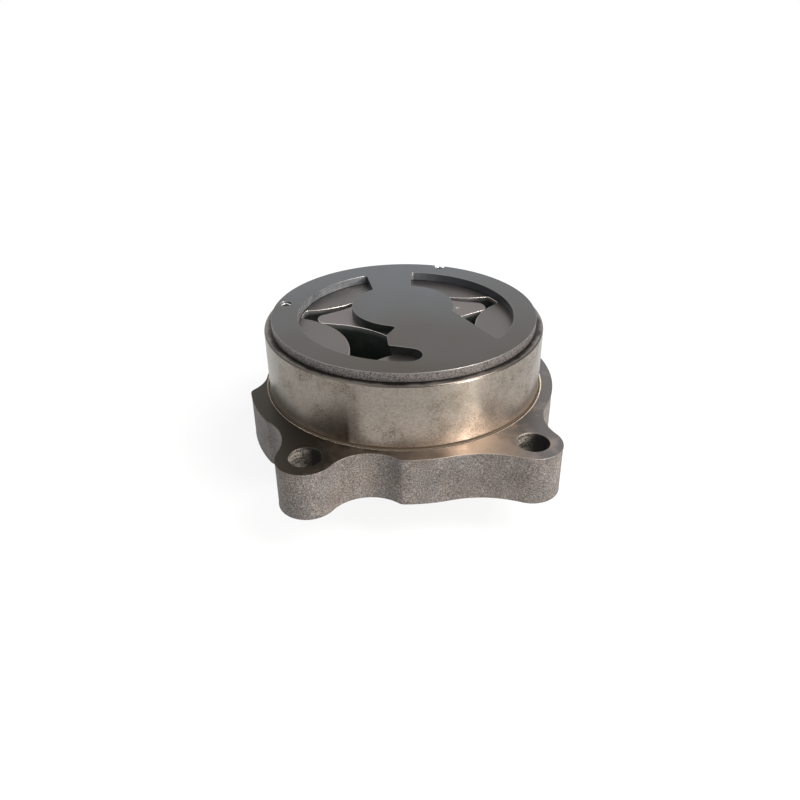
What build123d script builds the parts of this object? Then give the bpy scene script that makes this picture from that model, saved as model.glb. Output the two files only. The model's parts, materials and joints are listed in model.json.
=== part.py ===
from build123d import *
from math import acos, atan2, cos, degrees, hypot, pi, radians, sin, sqrt, tan
import os

# Gerotor oil pump for an engine block. A four-lobe inner rotor turns inside a five-lobe
# outer rotor in the pocket of a flanged cast body, under a loose steel port plate.
# Datum: the origin is on the pilot's axis, at the flange face that seats on the block.
# +Z runs along the pilot to the port plate. X and Y run along the bolt rectangle's sides.

# ---- Driving dimensions, mm and degrees ----

# Pilot: the turned cylinder that fits the block's bore
pilot_r = 40.0
pilot_h = 18.4
pilot_chamfer = 0.4
relief_w = 0.5
relief_depth = 0.6
relief_undercut = 0.45
relief_h = 0.4

# Flange: four bolt ears, with rim pads between them that stand out from the neck
flange_t = 14.3
neck_ledge = 0.8
ear_r = 7.85
bolt_hole_r = 4.3
bolt_spacing_x = 58.9
bolt_spacing_y = 80.9
scallop_r = 11.2
ear_blend_r = 14.2
long_blend_r = 28.0
pad_corner_r = 2.5
side_pad_ledge = 3.7
end_pad_ledge = 4.6
left_pad_ledge = 5.2
front_pad_start = -6.0
right_pad_end = 24.0
rear_pad_ends = (-6.0, 9.0)
left_pad_ends = (7.5, 28.0)
flange_edge = 0.4

# Shaft axis and the pocket's eccentric axis
shaft_x = 0.25
shaft_y = 4.35
eccentricity = 5.1
eccentric_angle = 93.35

# Gerotor set
inner_lobes = 4
rotor_turn = 4.2
lobe_centre_r = 43.2
lobe_gap = 4.385
tip_clearance = 0.08
outer_rotor_wall = 2.72
pocket_clearance = 0.07
pocket_depth = 20.0
end_clearance = 0.05
valley_corner_r = 0.9
profile_arcs_per_lobe = 9
punch_mark_r = 0.8
punch_mark_depth = 0.5
punch_mark_at_r = 16.75
punch_mark_angle = 0.9

# Port plate and its two spring pins
plate_step = 2.13
plate_t = 2.55
port_outer_margin = 0.52
port_land_margin = 0.08
port_corner_r = 0.8
floor_port_depth = 2.0
pin_r = 1.5
pin_bore_r = 0.9
pin_slot_w = 0.6
pin_depth = 8.0
pin_stand = 2.1
pin_hole_clearance = 0.02
plate_hole_clearance = 0.2
left_pin_setback = 2.18
left_pin_angle = 164.6
rear_pin_setback = 4.13
rear_pin_angle = 65.6

# Ports: the outer arcs turn about the pocket's axis, the inner ones about the shaft's axis
suction_start = 107.5
suction_end = 265.0
suction_inner_start = 121.5
slot_r = 3.8
slot_mouth_w = 8.75
slot_mouth_angle = 251.9
tongue_rise = 6.1
tongue_angle = 252.0
finger_end = 257.7
finger_tip_r = 1.3
pressure_start = 80.5
pressure_end = -43.2
pressure_inner_start = 74.0
pressure_inner_end = -24.0

# Shaft, bush, hub and the rotor's cross pin
shaft_r = 8.0
shaft_chamfer = 0.8
shaft_top_gap = 0.3
bush_wall = 2.0
hub_r = 14.0
hub_h = 1.7
running_clearance = 0.03
static_clearance = 0.02
cross_pin_r = 2.0
cross_pin_length = 22.0
cross_pin_rise = 2.6
cross_slot_play = 0.1

# Drive gear and what holds it on the shaft
gear_module = 2.0
gear_teeth = 25
gear_dedendum = 1.25
gear_width = 10.0
pressure_angle = 20.0
gear_backlash = 0.1
gear_chamfer = 0.6
gear_hub_r = 14.5
gear_relief_depth = 1.2
gear_rim_w = 3.0
clip_recess_r = 11.4
clip_recess_depth = 3.2
washer_r = 13.0
washer_t = 1.5
washer_bore_clearance = 0.15
axial_gap = 0.3
key_w = 4.0
key_h = 4.0
key_length = 6.0
key_stand = 1.6
clip_t = 1.0
clip_w = 1.8
clip_groove_depth = 0.45
clip_gap_w = 5.0
clip_lug_r = 1.6
clip_lug_hole_r = 0.7

# ---- Derived values ----

neck_r = pilot_r + relief_w + neck_ledge
side_pad_r = pilot_r + relief_w + side_pad_ledge
end_pad_r = pilot_r + relief_w + end_pad_ledge
left_pad_r = pilot_r + relief_w + left_pad_ledge
plate_r = pilot_r - plate_step

outer_lobes = inner_lobes + 1
lobe_r = lobe_centre_r * sin(pi / outer_lobes) - lobe_gap / 2
valley_r = lobe_centre_r - lobe_r + 2 * eccentricity + tip_clearance
inner_root_r = lobe_centre_r - lobe_r - eccentricity - tip_clearance
outer_rotor_r = valley_r + outer_rotor_wall
outer_turn = rotor_turn + (eccentric_angle + 180 - rotor_turn) / outer_lobes

pocket_x = shaft_x - eccentricity * cos(radians(eccentric_angle))
pocket_y = shaft_y - eccentricity * sin(radians(eccentric_angle))
pocket_r = outer_rotor_r + pocket_clearance
floor_z = pilot_h - pocket_depth
rotor_z = floor_z + end_clearance
rotor_h = pocket_depth - 2 * end_clearance

port_outer_r = valley_r + port_outer_margin
port_land_r = inner_root_r + port_land_margin
left_pin_r = pocket_r + left_pin_setback
rear_pin_r = pocket_r + rear_pin_setback

bush_r = shaft_r + bush_wall
hub_z = -flange_t - hub_h
washer_z = hub_z - washer_t
gear_top = washer_z - axial_gap
gear_z = gear_top - gear_width
clip_z = gear_z + clip_recess_depth - clip_t
clip_bore_r = shaft_r - clip_groove_depth + static_clearance
shaft_top = pilot_h - shaft_top_gap
shaft_bottom = gear_z + shaft_top_gap
cross_pin_z = floor_z + cross_pin_rise
key_z = (gear_top + gear_z + clip_recess_depth - key_length) / 2
key_top_r = shaft_r + key_stand

pitch_r = gear_module * gear_teeth / 2
gear_tip_r = pitch_r + gear_module
gear_root_r = pitch_r - gear_dedendum * gear_module
base_r = pitch_r * cos(radians(pressure_angle))

shaft_at = (shaft_x, shaft_y)
pocket_at = (pocket_x, pocket_y)


def polar(centre, radius, angle):
    """A point at a radius and an angle in degrees about a centre."""
    turn = radians(angle)
    return (centre[0] + radius * cos(turn), centre[1] + radius * sin(turn))


bolt_x = bolt_spacing_x / 2
bolt_y = bolt_spacing_y / 2
bolts_at = [(-bolt_x, -bolt_y), (bolt_x, -bolt_y), (bolt_x, bolt_y), (-bolt_x, bolt_y)]
left_pin_at = polar((0, 0), left_pin_r, left_pin_angle)
rear_pin_at = polar((0, 0), rear_pin_r, rear_pin_angle)

os.makedirs("parts", exist_ok=True)


# ---- Port outlines, shared by the plate and the pocket floor ----

nose_middle = polar(pocket_at, port_outer_r - slot_r, suction_end)
nose_tip = polar(nose_middle, slot_r, suction_end + 90)
slot_mouth = polar(pocket_at, port_outer_r - slot_mouth_w, slot_mouth_angle)
mouth_reach = hypot(slot_mouth[0] - nose_middle[0], slot_mouth[1] - nose_middle[1])
mouth_heading = degrees(atan2(slot_mouth[1] - nose_middle[1], slot_mouth[0] - nose_middle[0]))
nose_inner = polar(nose_middle, slot_r, mouth_heading - degrees(acos(slot_r / mouth_reach)))

with BuildSketch() as suction_port:
    with BuildLine():
        outer_arc = CenterArc(pocket_at, port_outer_r, suction_start, suction_end - suction_start)
        ThreePointArc(outer_arc @ 1, nose_tip, nose_inner)
        Line(nose_inner, slot_mouth)
        tongue = Line(slot_mouth, polar(shaft_at, port_land_r + tongue_rise, tongue_angle))
        finger = Line(tongue @ 1, polar(shaft_at, port_land_r, finger_end))
        land_arc = CenterArc(shaft_at, port_land_r, finger_end, suction_inner_start - finger_end)
        Line(land_arc @ 1, outer_arc @ 0)
    make_face()
    sharp_corners = suction_port.vertices().sort_by_distance(Vector(*nose_middle))[2:]
    fillet(sharp_corners.sort_by_distance(finger @ 1)[1:], radius=port_corner_r)
    fillet(suction_port.vertices().sort_by_distance(finger @ 1)[0], radius=finger_tip_r)

with BuildSketch() as pressure_port:
    with BuildLine():
        outer_arc = CenterArc(pocket_at, port_outer_r, pressure_start, pressure_end - pressure_start)
        end_wall = Line(outer_arc @ 1, polar(shaft_at, port_land_r, pressure_inner_end))
        land_sweep = pressure_inner_start - pressure_inner_end
        land_arc = CenterArc(shaft_at, port_land_r, pressure_inner_end, land_sweep)
        Line(land_arc @ 1, outer_arc @ 0)
    make_face()
    fillet(pressure_port.vertices(), radius=port_corner_r)


# ---- Pump body: flange, pilot, hub, pocket and bores ----


def ear(place, blend):
    """A bolt ear: the disc where the outline enters and leaves, no pad, and the blend after it."""
    return ((place, ear_r), (place, ear_r), [], blend)


def pad(side, ends, radius, blend):
    """A rim pad whose ends are angles from its side's axis, and the blend after it.

    An end that is None has no corner: the rim runs straight into the blend.
    """
    discs, rim_points = [], []
    for end in ends:
        if end is None:
            discs.append(((0, 0), radius))
        else:
            discs.append((polar((0, 0), radius - pad_corner_r, side + end), pad_corner_r))
            rim_points.append(polar((0, 0), radius, side + end))
    return (discs[0], discs[1], rim_points, blend)


def blend_points(first, second, blend):
    """Where a concave blend touches two discs, going anticlockwise round the outline."""
    (first_x, first_y), first_r = first
    (second_x, second_y), second_r = second
    gap = hypot(second_x - first_x, second_y - first_y)
    along = (gap**2 + (first_r + blend) ** 2 - (second_r + blend) ** 2) / (2 * gap)
    aside = sqrt((first_r + blend) ** 2 - along**2)
    unit = ((second_x - first_x) / gap, (second_y - first_y) / gap)
    centre_x = first_x + along * unit[0] + aside * unit[1]
    centre_y = first_y + along * unit[1] - aside * unit[0]
    touches = []
    for (disc_x, disc_y), disc_r in (first, second):
        share = disc_r / (disc_r + blend)
        touches.append((disc_x + share * (centre_x - disc_x), disc_y + share * (centre_y - disc_y)))
    return touches


right, rear, left, front = 0, 90, 180, 270
neck = (((0, 0), neck_r), ((0, 0), neck_r), [], scallop_r)
stations = [
    ear(bolts_at[0], scallop_r),
    pad(front, (front_pad_start, None), end_pad_r, long_blend_r),
    ear(bolts_at[1], ear_blend_r),
    pad(right, (None, right_pad_end), side_pad_r, ear_blend_r),
    ear(bolts_at[2], ear_blend_r),
    pad(rear, rear_pad_ends, end_pad_r, scallop_r),
    ear(bolts_at[3], scallop_r),
    neck,
    pad(left, left_pad_ends, left_pad_r, ear_blend_r),
]
outline_points = []
for station, following in zip(stations, stations[1:] + stations[:1]):
    outline_points += station[2]
    outline_points += blend_points(station[1], following[0], station[3])

with BuildSketch(Plane.XY.offset(-flange_t)) as flange_outline:
    with BuildLine():
        ear_x, ear_y = bolts_at[0]
        start_x, start_y = outline_points[0]
        heading = (ear_y - start_y, start_x - ear_x)
        for start, end in zip(outline_points, outline_points[1:] + outline_points[:1]):
            outline_arc = TangentArc(start, end, tangent=heading)
            heading = outline_arc % 1
    make_face()

with BuildPart() as pump_body:
    add(flange_outline.sketch)
    extrude(amount=flange_t)
    chamfer(pump_body.faces().sort_by(Axis.Z)[0].edges(), length=flange_edge)
    with BuildSketch(Plane.XY):
        Circle(pilot_r)
    extrude(amount=pilot_h)
    chamfer(pump_body.faces().sort_by(Axis.Z)[-1].edges(), length=pilot_chamfer)
    with BuildSketch(Plane.XY.offset(relief_h)):
        Circle(pilot_r + relief_w)
        Circle(pilot_r - relief_undercut, mode=Mode.SUBTRACT)
    extrude(amount=-relief_h - relief_depth, mode=Mode.SUBTRACT)
    with BuildSketch(Plane.XY.offset(-flange_t)):
        with Locations(shaft_at):
            Circle(hub_r)
    extrude(amount=-hub_h)
    with BuildSketch(Plane.XY.offset(floor_z)):
        with Locations(pocket_at):
            Circle(pocket_r)
    extrude(amount=pocket_depth, mode=Mode.SUBTRACT)
    with BuildSketch(Plane.XY.offset(floor_z)):
        add(suction_port.sketch)
        add(pressure_port.sketch)
    extrude(amount=-floor_port_depth, mode=Mode.SUBTRACT)
    with BuildSketch(Plane.XY.offset(hub_z)):
        with Locations(shaft_at):
            Circle(bush_r + static_clearance)
    extrude(amount=floor_z - hub_z, mode=Mode.SUBTRACT)
    with BuildSketch(Plane.XY.offset(-flange_t)):
        with Locations(*bolts_at):
            Circle(bolt_hole_r)
    extrude(amount=flange_t, mode=Mode.SUBTRACT)
    with BuildSketch(Plane.XY.offset(pilot_h)):
        with Locations(left_pin_at, rear_pin_at):
            Circle(pin_r + pin_hole_clearance)
    extrude(amount=-pin_depth - static_clearance, mode=Mode.SUBTRACT)
pump_body.part.label = "pump_body"
export_step(pump_body.part, "parts/pump_body.step")


# ---- Port plate ----

with BuildPart() as port_plate:
    with BuildSketch(Plane.XY.offset(pilot_h)):
        Circle(plate_r)
        add(suction_port.sketch, mode=Mode.SUBTRACT)
        add(pressure_port.sketch, mode=Mode.SUBTRACT)
        with Locations(left_pin_at, rear_pin_at):
            Circle(pin_r + plate_hole_clearance, mode=Mode.SUBTRACT)
    extrude(amount=plate_t)
port_plate.part.label = "port_plate"
export_step(port_plate.part, "parts/port_plate.step")


# ---- Spring pins that key the plate to the body ----


def spring_pin(place):
    """A slotted spring pin, chamfered at its top, standing in the pilot's end face."""
    with BuildPart() as pin:
        with BuildSketch(Plane.XY.offset(pilot_h - pin_depth)):
            with Locations(place):
                Circle(pin_r)
        extrude(amount=pin_depth + pin_stand)
        chamfer(pin.faces().sort_by(Axis.Z)[-1].edges(), length=(pin_r - pin_bore_r) / 2)
        with BuildSketch(Plane.XY.offset(pilot_h - pin_depth)):
            with Locations(place):
                Circle(pin_bore_r)
                with Locations((pin_r, 0)):
                    Rectangle(2 * pin_r, pin_slot_w)
        extrude(amount=pin_depth + pin_stand, mode=Mode.SUBTRACT)
    return pin.part


left_plate_pin = spring_pin(left_pin_at)
left_plate_pin.label = "left_plate_pin"
export_step(left_plate_pin, "parts/left_plate_pin.step")
rear_plate_pin = spring_pin(rear_pin_at)
rear_plate_pin.label = "rear_plate_pin"
export_step(rear_plate_pin, "parts/rear_plate_pin.step")


# ---- Outer rotor: five round lobes inside a ring ----

with BuildPart() as outer_rotor:
    with BuildSketch(Plane.XY.offset(rotor_z)):
        with Locations(pocket_at):
            Circle(outer_rotor_r)
    extrude(amount=rotor_h)
    with BuildSketch(Plane.XY.offset(rotor_z)) as star:
        with Locations(pocket_at):
            Circle(valley_r)
            with PolarLocations(lobe_centre_r, outer_lobes, start_angle=outer_turn):
                Circle(lobe_r, mode=Mode.SUBTRACT)
        fillet(star.vertices(), radius=valley_corner_r)
    extrude(amount=rotor_h, mode=Mode.SUBTRACT)
outer_rotor.part.label = "outer_rotor"
export_step(outer_rotor.part, "parts/outer_rotor.step")


# ---- Inner rotor: the curve that the outer rotor's round lobes roll out ----


def inner_profile_point(turn):
    """A point of the inner rotor's outline, offset inwards from the path of a lobe centre."""
    path = (
        lobe_centre_r * cos(turn) + eccentricity * cos(outer_lobes * turn),
        lobe_centre_r * sin(turn) + eccentricity * sin(outer_lobes * turn),
    )
    slope = (
        -lobe_centre_r * sin(turn) - outer_lobes * eccentricity * sin(outer_lobes * turn),
        lobe_centre_r * cos(turn) + outer_lobes * eccentricity * cos(outer_lobes * turn),
    )
    speed = hypot(*slope)
    reach = lobe_r + tip_clearance
    return (path[0] - reach * slope[1] / speed, path[1] + reach * slope[0] / speed)


profile_arcs = profile_arcs_per_lobe * inner_lobes
profile_points = [inner_profile_point(pi * step / profile_arcs) for step in range(2 * profile_arcs + 1)]
rotor_plane = Plane(origin=(shaft_x, shaft_y, rotor_z), x_dir=polar((0, 0), 1, rotor_turn))

with BuildPart() as inner_rotor:
    with BuildSketch(rotor_plane):
        with BuildLine():
            for start in range(0, 2 * profile_arcs, 2):
                ThreePointArc(*profile_points[start : start + 3])
        make_face()
        Circle(shaft_r + static_clearance, mode=Mode.SUBTRACT)
    extrude(amount=rotor_h)
    slot_top = cross_pin_z + cross_pin_r + static_clearance
    with BuildSketch(rotor_plane):
        Rectangle(cross_pin_length + 2 * cross_slot_play, 2 * (cross_pin_r + static_clearance))
    extrude(amount=slot_top - rotor_z, mode=Mode.SUBTRACT)
    with Locations(rotor_plane.offset(rotor_h)):
        with Locations(polar((0, 0), punch_mark_at_r, punch_mark_angle)):
            tip_down = (Align.CENTER, Align.CENTER, Align.MAX)
            Cone(0, punch_mark_r, punch_mark_depth, align=tip_down, mode=Mode.SUBTRACT)
inner_rotor.part.label = "inner_rotor"
export_step(inner_rotor.part, "parts/inner_rotor.step")


# ---- Cross pin: turns the inner rotor with the shaft ----

cross_pin_plane = Plane(
    origin=polar(shaft_at, -cross_pin_length / 2, rotor_turn) + (cross_pin_z,),
    z_dir=rotor_plane.x_dir,
)

with BuildPart() as rotor_cross_pin:
    with BuildSketch(cross_pin_plane):
        Circle(cross_pin_r)
    extrude(amount=cross_pin_length)
rotor_cross_pin.part.label = "rotor_cross_pin"
export_step(rotor_cross_pin.part, "parts/rotor_cross_pin.step")


# ---- Drive shaft: plain journal, cross hole, keyseat and clip groove ----

shaft_plane = Plane(origin=(shaft_x, shaft_y, shaft_bottom), x_dir=rotor_plane.x_dir)
key_plane = Plane(origin=(shaft_x, shaft_y, key_z), x_dir=rotor_plane.x_dir)
key_seat_r = key_top_r - key_h

with BuildPart() as drive_shaft:
    with BuildSketch(shaft_plane):
        Circle(shaft_r)
    extrude(amount=shaft_top - shaft_bottom)
    chamfer(drive_shaft.faces().filter_by(Axis.Z).edges(), length=shaft_chamfer)
    with BuildSketch(cross_pin_plane):
        Circle(cross_pin_r + static_clearance)
    extrude(amount=cross_pin_length, mode=Mode.SUBTRACT)
    with BuildSketch(key_plane.offset(-static_clearance)):
        with Locations((key_seat_r - static_clearance + key_h / 2, 0)):
            Rectangle(key_h, key_w + 2 * static_clearance)
    extrude(amount=key_length + 2 * static_clearance, mode=Mode.SUBTRACT)
    with BuildSketch(shaft_plane.offset(clip_z - static_clearance - shaft_bottom)):
        Circle(2 * shaft_r)
        Circle(shaft_r - clip_groove_depth, mode=Mode.SUBTRACT)
    extrude(amount=clip_t + 2 * static_clearance, mode=Mode.SUBTRACT)
drive_shaft.part.label = "drive_shaft"
export_step(drive_shaft.part, "parts/drive_shaft.step")


# ---- Bush pressed into the hub ----

with BuildPart() as shaft_bush:
    with BuildSketch(Plane.XY.offset(hub_z)):
        with Locations(shaft_at):
            Circle(bush_r)
    extrude(amount=floor_z - hub_z)
    with BuildSketch(Plane.XY.offset(hub_z)):
        with Locations(shaft_at):
            Circle(shaft_r + running_clearance)
    extrude(amount=floor_z - hub_z, mode=Mode.SUBTRACT)
shaft_bush.part.label = "shaft_bush"
export_step(shaft_bush.part, "parts/shaft_bush.step")


# ---- Thrust washer between the hub and the gear ----

with BuildPart() as thrust_washer:
    with BuildSketch(Plane.XY.offset(washer_z)):
        with Locations(shaft_at):
            Circle(washer_r)
            Circle(shaft_r + washer_bore_clearance, mode=Mode.SUBTRACT)
    extrude(amount=washer_t)
thrust_washer.part.label = "thrust_washer"
export_step(thrust_washer.part, "parts/thrust_washer.step")


# ---- Drive gear: involute spur teeth, keyed bore, recess for the clip ----


def involute(angle):
    """The involute function of a pressure angle in radians."""
    return tan(angle) - angle


def flank_point(radius, side):
    """A point on one flank of the tooth that is centred on the X axis."""
    half_tooth = pi / (2 * gear_teeth) - gear_backlash / (2 * pitch_r)
    turn = half_tooth + involute(radians(pressure_angle)) - involute(acos(base_r / radius))
    return (radius * cos(turn), side * radius * sin(turn))


flank_radii = (base_r, (base_r + gear_tip_r) / 2, gear_tip_r)

with BuildSketch() as gear_tooth:
    with BuildLine():
        upper_flank = ThreePointArc(*[flank_point(radius, 1) for radius in flank_radii])
        lower_flank = ThreePointArc(*[flank_point(radius, -1) for radius in flank_radii])
        ThreePointArc(upper_flank @ 1, (gear_tip_r, 0), lower_flank @ 1)
        upper_root = Line(upper_flank @ 0, (gear_root_r - gear_module, (upper_flank @ 0).Y))
        lower_root = Line(lower_flank @ 0, (gear_root_r - gear_module, (lower_flank @ 0).Y))
        Line(upper_root @ 1, lower_root @ 1)
    make_face()

gear_plane = Plane(origin=(shaft_x, shaft_y, gear_z), x_dir=rotor_plane.x_dir)
key_way_r = key_top_r + static_clearance

with BuildPart() as drive_gear:
    with BuildSketch(gear_plane):
        Circle(gear_tip_r)
    extrude(amount=gear_width)
    chamfer(drive_gear.faces().filter_by(Axis.Z).edges(), length=gear_chamfer)
    with BuildSketch(gear_plane):
        Circle(gear_root_r)
        with PolarLocations(0, gear_teeth):
            add(gear_tooth.sketch)
    extrude(amount=gear_width, mode=Mode.INTERSECT)
    with BuildSketch(gear_plane):
        Circle(gear_root_r - gear_rim_w)
        Circle(gear_hub_r, mode=Mode.SUBTRACT)
    extrude(amount=gear_relief_depth, mode=Mode.SUBTRACT)
    with BuildSketch(gear_plane):
        Circle(clip_recess_r)
    extrude(amount=clip_recess_depth, mode=Mode.SUBTRACT)
    with BuildSketch(gear_plane):
        Circle(shaft_r + static_clearance)
        with Locations((key_way_r / 2, 0)):
            Rectangle(key_way_r, key_w + 2 * static_clearance)
    extrude(amount=gear_width, mode=Mode.SUBTRACT)
drive_gear.part.label = "drive_gear"
export_step(drive_gear.part, "parts/drive_gear.step")


# ---- Key and retaining clip of the gear ----

with BuildPart() as gear_key:
    with BuildSketch(key_plane):
        with Locations((key_seat_r + key_h / 2, 0)):
            Rectangle(key_h, key_w)
    extrude(amount=key_length)
gear_key.part.label = "gear_key"
export_step(gear_key.part, "parts/gear_key.step")

clip_plane = Plane(origin=(shaft_x, shaft_y, clip_z), x_dir=rotor_plane.x_dir)
clip_mid_r = clip_bore_r + clip_w / 2

with BuildPart() as gear_clip:
    with BuildSketch(clip_plane):
        Circle(clip_bore_r + clip_w)
        for side in (-1, 1):
            with Locations((clip_mid_r, side * (clip_gap_w / 2 + clip_lug_r / 2))):
                Circle(clip_lug_r)
        Circle(clip_bore_r, mode=Mode.SUBTRACT)
        with Locations((clip_mid_r, 0)):
            Rectangle(2 * clip_w + clip_lug_r, clip_gap_w - clip_lug_r, mode=Mode.SUBTRACT)
        for side in (-1, 1):
            with Locations((clip_mid_r, side * (clip_gap_w / 2 + clip_lug_r / 2))):
                Circle(clip_lug_hole_r, mode=Mode.SUBTRACT)
    extrude(amount=clip_t)
gear_clip.part.label = "gear_clip"
export_step(gear_clip.part, "parts/gear_clip.step")
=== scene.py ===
import json
import math

import bmesh
import bpy
from bpy.props import FloatProperty, FloatVectorProperty, PointerProperty
from mathutils import Matrix, Vector


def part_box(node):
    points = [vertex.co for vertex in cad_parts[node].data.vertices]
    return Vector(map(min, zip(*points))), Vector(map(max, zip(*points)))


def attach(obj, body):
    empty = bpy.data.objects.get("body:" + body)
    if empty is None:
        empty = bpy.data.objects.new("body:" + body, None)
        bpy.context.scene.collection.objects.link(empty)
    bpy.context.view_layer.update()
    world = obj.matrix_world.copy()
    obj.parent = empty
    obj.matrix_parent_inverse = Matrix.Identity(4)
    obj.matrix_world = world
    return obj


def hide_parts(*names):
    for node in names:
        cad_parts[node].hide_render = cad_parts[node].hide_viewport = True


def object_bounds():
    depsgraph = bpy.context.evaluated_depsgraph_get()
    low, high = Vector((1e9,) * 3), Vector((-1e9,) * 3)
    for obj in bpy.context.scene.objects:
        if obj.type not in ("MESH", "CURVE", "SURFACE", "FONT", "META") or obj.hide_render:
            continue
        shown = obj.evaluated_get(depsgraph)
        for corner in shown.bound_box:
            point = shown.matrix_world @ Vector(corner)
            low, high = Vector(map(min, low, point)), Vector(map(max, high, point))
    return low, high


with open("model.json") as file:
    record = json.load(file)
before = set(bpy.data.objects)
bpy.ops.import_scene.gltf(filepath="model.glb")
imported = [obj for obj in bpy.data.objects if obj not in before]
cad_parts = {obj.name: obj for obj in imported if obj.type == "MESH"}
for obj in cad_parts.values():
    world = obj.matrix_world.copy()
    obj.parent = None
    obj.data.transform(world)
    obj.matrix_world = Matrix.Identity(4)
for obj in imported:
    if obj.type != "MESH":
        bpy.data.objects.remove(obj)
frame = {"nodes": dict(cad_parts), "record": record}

CAD_BOX = [list(corner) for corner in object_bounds()]

bl_info = {
    "name": "Gerotor Oil Pump",
    "version": (1, 0, 0),
    "blender": (4, 5, 0),
    "location": "View3D > Sidebar > Oil Pump",
    "description": "Dresses the packed solids of a flanged gerotor oil pump",
    "category": "Object",
}

MM = 0.001
MOUNTS = {mount["name"]: mount for mount in frame["record"]["mounts"]}
PILOT_R = MOUNTS["pilot"]["dims"]["r_mm"] * MM
HOLE_R = MOUNTS["flange_bolts"]["dims"]["hole_r_mm"] * MM
BOLT_X = MOUNTS["flange_bolts"]["dims"]["spacing_x_mm"] * MM / 2
BOLT_Y = MOUNTS["flange_bolts"]["dims"]["spacing_y_mm"] * MM / 2
BOLTS = [Vector((x, y, 0)) for x in (-BOLT_X, BOLT_X) for y in (-BOLT_Y, BOLT_Y)]
PLATE_LOW, PLATE_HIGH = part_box("port_plate")
PLATE_R = (PLATE_HIGH.x - PLATE_LOW.x) / 2
PILOT_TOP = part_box("pump_body")[1].z
PIN_LOW, PIN_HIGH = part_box("left_plate_pin")
HUB_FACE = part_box("thrust_washer")[1].z

# Over these stretches along X the skin loses its painted shade, the seat goes from painted shade at the
# left to a painted highlight and a duller right end, and the pilot turns grey with painted shade
SKIN_SHADE_FADE = (-46 * MM, -30 * MM)
SEAT_SHADE_FADE = (-35 * MM, 40 * MM)
PILOT_SHADE_FADE = (5 * MM, -38 * MM)
# Over this stretch along Y ground steel goes over from its tint to its own colour
STEEL_FADE = (-35 * MM, 20 * MM)
# The painted dark reflection on the pilot deepens along X from its start to its end, and stops a
# millimetre on
DARK_REFLECTION_START = -34 * MM
DARK_REFLECTION_END = -18.5 * MM
# The port walls turn darker round the mouth of the narrow slot, out to this reach
SLOT_MOUTH = Vector((-8, -19, 20)) * MM
SLOT_DARK_REACH = 22 * MM

# How near a face's centre lies to the plane, the pilot's top or the wall that it belongs to
ON_PLANE = MM / 100
ON_TOP = MM / 10
ON_WALL = MM
# The body's material slot that holds the cast skin
SKIN_SLOT = 0

# Depths of the marks and grains that bump shading raises
TOOL_MARK = 0.02 * MM
TORN_GRAIN = 0.08 * MM

# The cast wall's slow waves, the size of the faces that carry its grain, and the least height of
# the edges that run up it
CAST_WAVE = 9 * MM
CAST_WAVE_DEPTH = 0.15 * MM
CAST_SEED = 7.0
CAST_STEP = 0.7 * MM
CAST_TALL = 5 * MM
PIN_EDGE = 0.12 * MM

# The floor lies just below the pump. The camera sees it as mostly white there, so that the pump's
# shadow shows, and as all white beyond the stretch
FLOOR_SIZE = 6.0
FLOOR_GAP = 0.02 * MM
FLOOR_FADE = (0.12, 0.35)
FLOOR_WHITE = 0.85
LAMP_DISTANCE = 0.7
WARM_LIGHT = (1.0, 0.97, 0.93)
COOL_LIGHT = (0.9, 0.95, 1.0)

# The camera's angles are in radians, its lens and sensor in millimetres
CAMERA_PLACE = Vector((-0.02037, -0.19881, 0.10924))
CAMERA_HEADING = math.radians(84.517)
CAMERA_PITCH = 0.534272
CAMERA_ROLL = -0.011022
CAMERA_LENS = 33.892
SENSOR_WIDTH = 36.0


# ---- Colours and nodes ----


def srgb(code):
    """An sRGB hex colour as linear values, with alpha."""
    values = [int(code[place : place + 2], 16) / 255 for place in (1, 3, 5)]
    linear = [v / 12.92 if v <= 0.04045 else ((v + 0.055) / 1.055) ** 2.4 for v in values]
    return (*linear, 1.0)


def colour_property(name, description, code):
    """A colour that a user can change, with its default written as sRGB hex."""
    return FloatVectorProperty(
        name=name, description=description, subtype="COLOR", size=4, min=0, max=1, default=srgb(code)
    )


def add(tree, kind, inputs=None, stops=None, **settings):
    """Adds one node with its settings. Inputs are values, or the sockets that feed them."""
    node = tree.nodes.new(kind)
    for name, value in settings.items():
        setattr(node, name, value)
    for place, (position, colour) in enumerate(stops or []):
        ramp = node.color_ramp.elements
        stop = ramp[place] if place < len(ramp) else ramp.new(position)
        stop.position, stop.color = position, colour
    for key, value in (inputs or {}).items():
        if isinstance(value, bpy.types.NodeSocket):
            tree.links.new(value, node.inputs[key])
        else:
            node.inputs[key].default_value = value
    return node


def start_material(name, metallic, roughness):
    """A new material with its shader, and the object's own coordinates in metres."""
    material = bpy.data.materials.new(name)
    material.use_nodes = True
    tree = material.node_tree
    tree.nodes.clear()
    shader = add(tree, "ShaderNodeBsdfPrincipled", {"Metallic": metallic, "Roughness": roughness})
    add(tree, "ShaderNodeOutputMaterial", {"Surface": shader.outputs["BSDF"]})
    coords = add(tree, "ShaderNodeTexCoord").outputs["Object"]
    return material, tree, shader, coords


def noise(tree, coords, size, detail=2.0, roughness=0.5):
    """A cloudy pattern whose features are about this many metres wide."""
    values = {"Vector": coords, "Scale": 1 / size, "Detail": detail, "Roughness": roughness}
    return add(tree, "ShaderNodeTexNoise", values).outputs["Fac"]


def ramp(tree, factor, *stops):
    """Colours by position along the factor."""
    return add(tree, "ShaderNodeValToRGB", {"Fac": factor}, stops=stops).outputs["Color"]


def remap(tree, value, low, high, to_low=0.0, to_high=1.0):
    """The value, carried from one range to another and held inside it."""
    values = {"Value": value, "From Min": low, "From Max": high, "To Min": to_low, "To Max": to_high}
    return add(tree, "ShaderNodeMapRange", values).outputs["Result"]


def blend(tree, factor, first, second, blend_type="MIX"):
    """Mixes two colours."""
    values = {0: factor, 6: first, 7: second}
    return add(tree, "ShaderNodeMix", values, data_type="RGBA", blend_type=blend_type).outputs[2]


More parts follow.
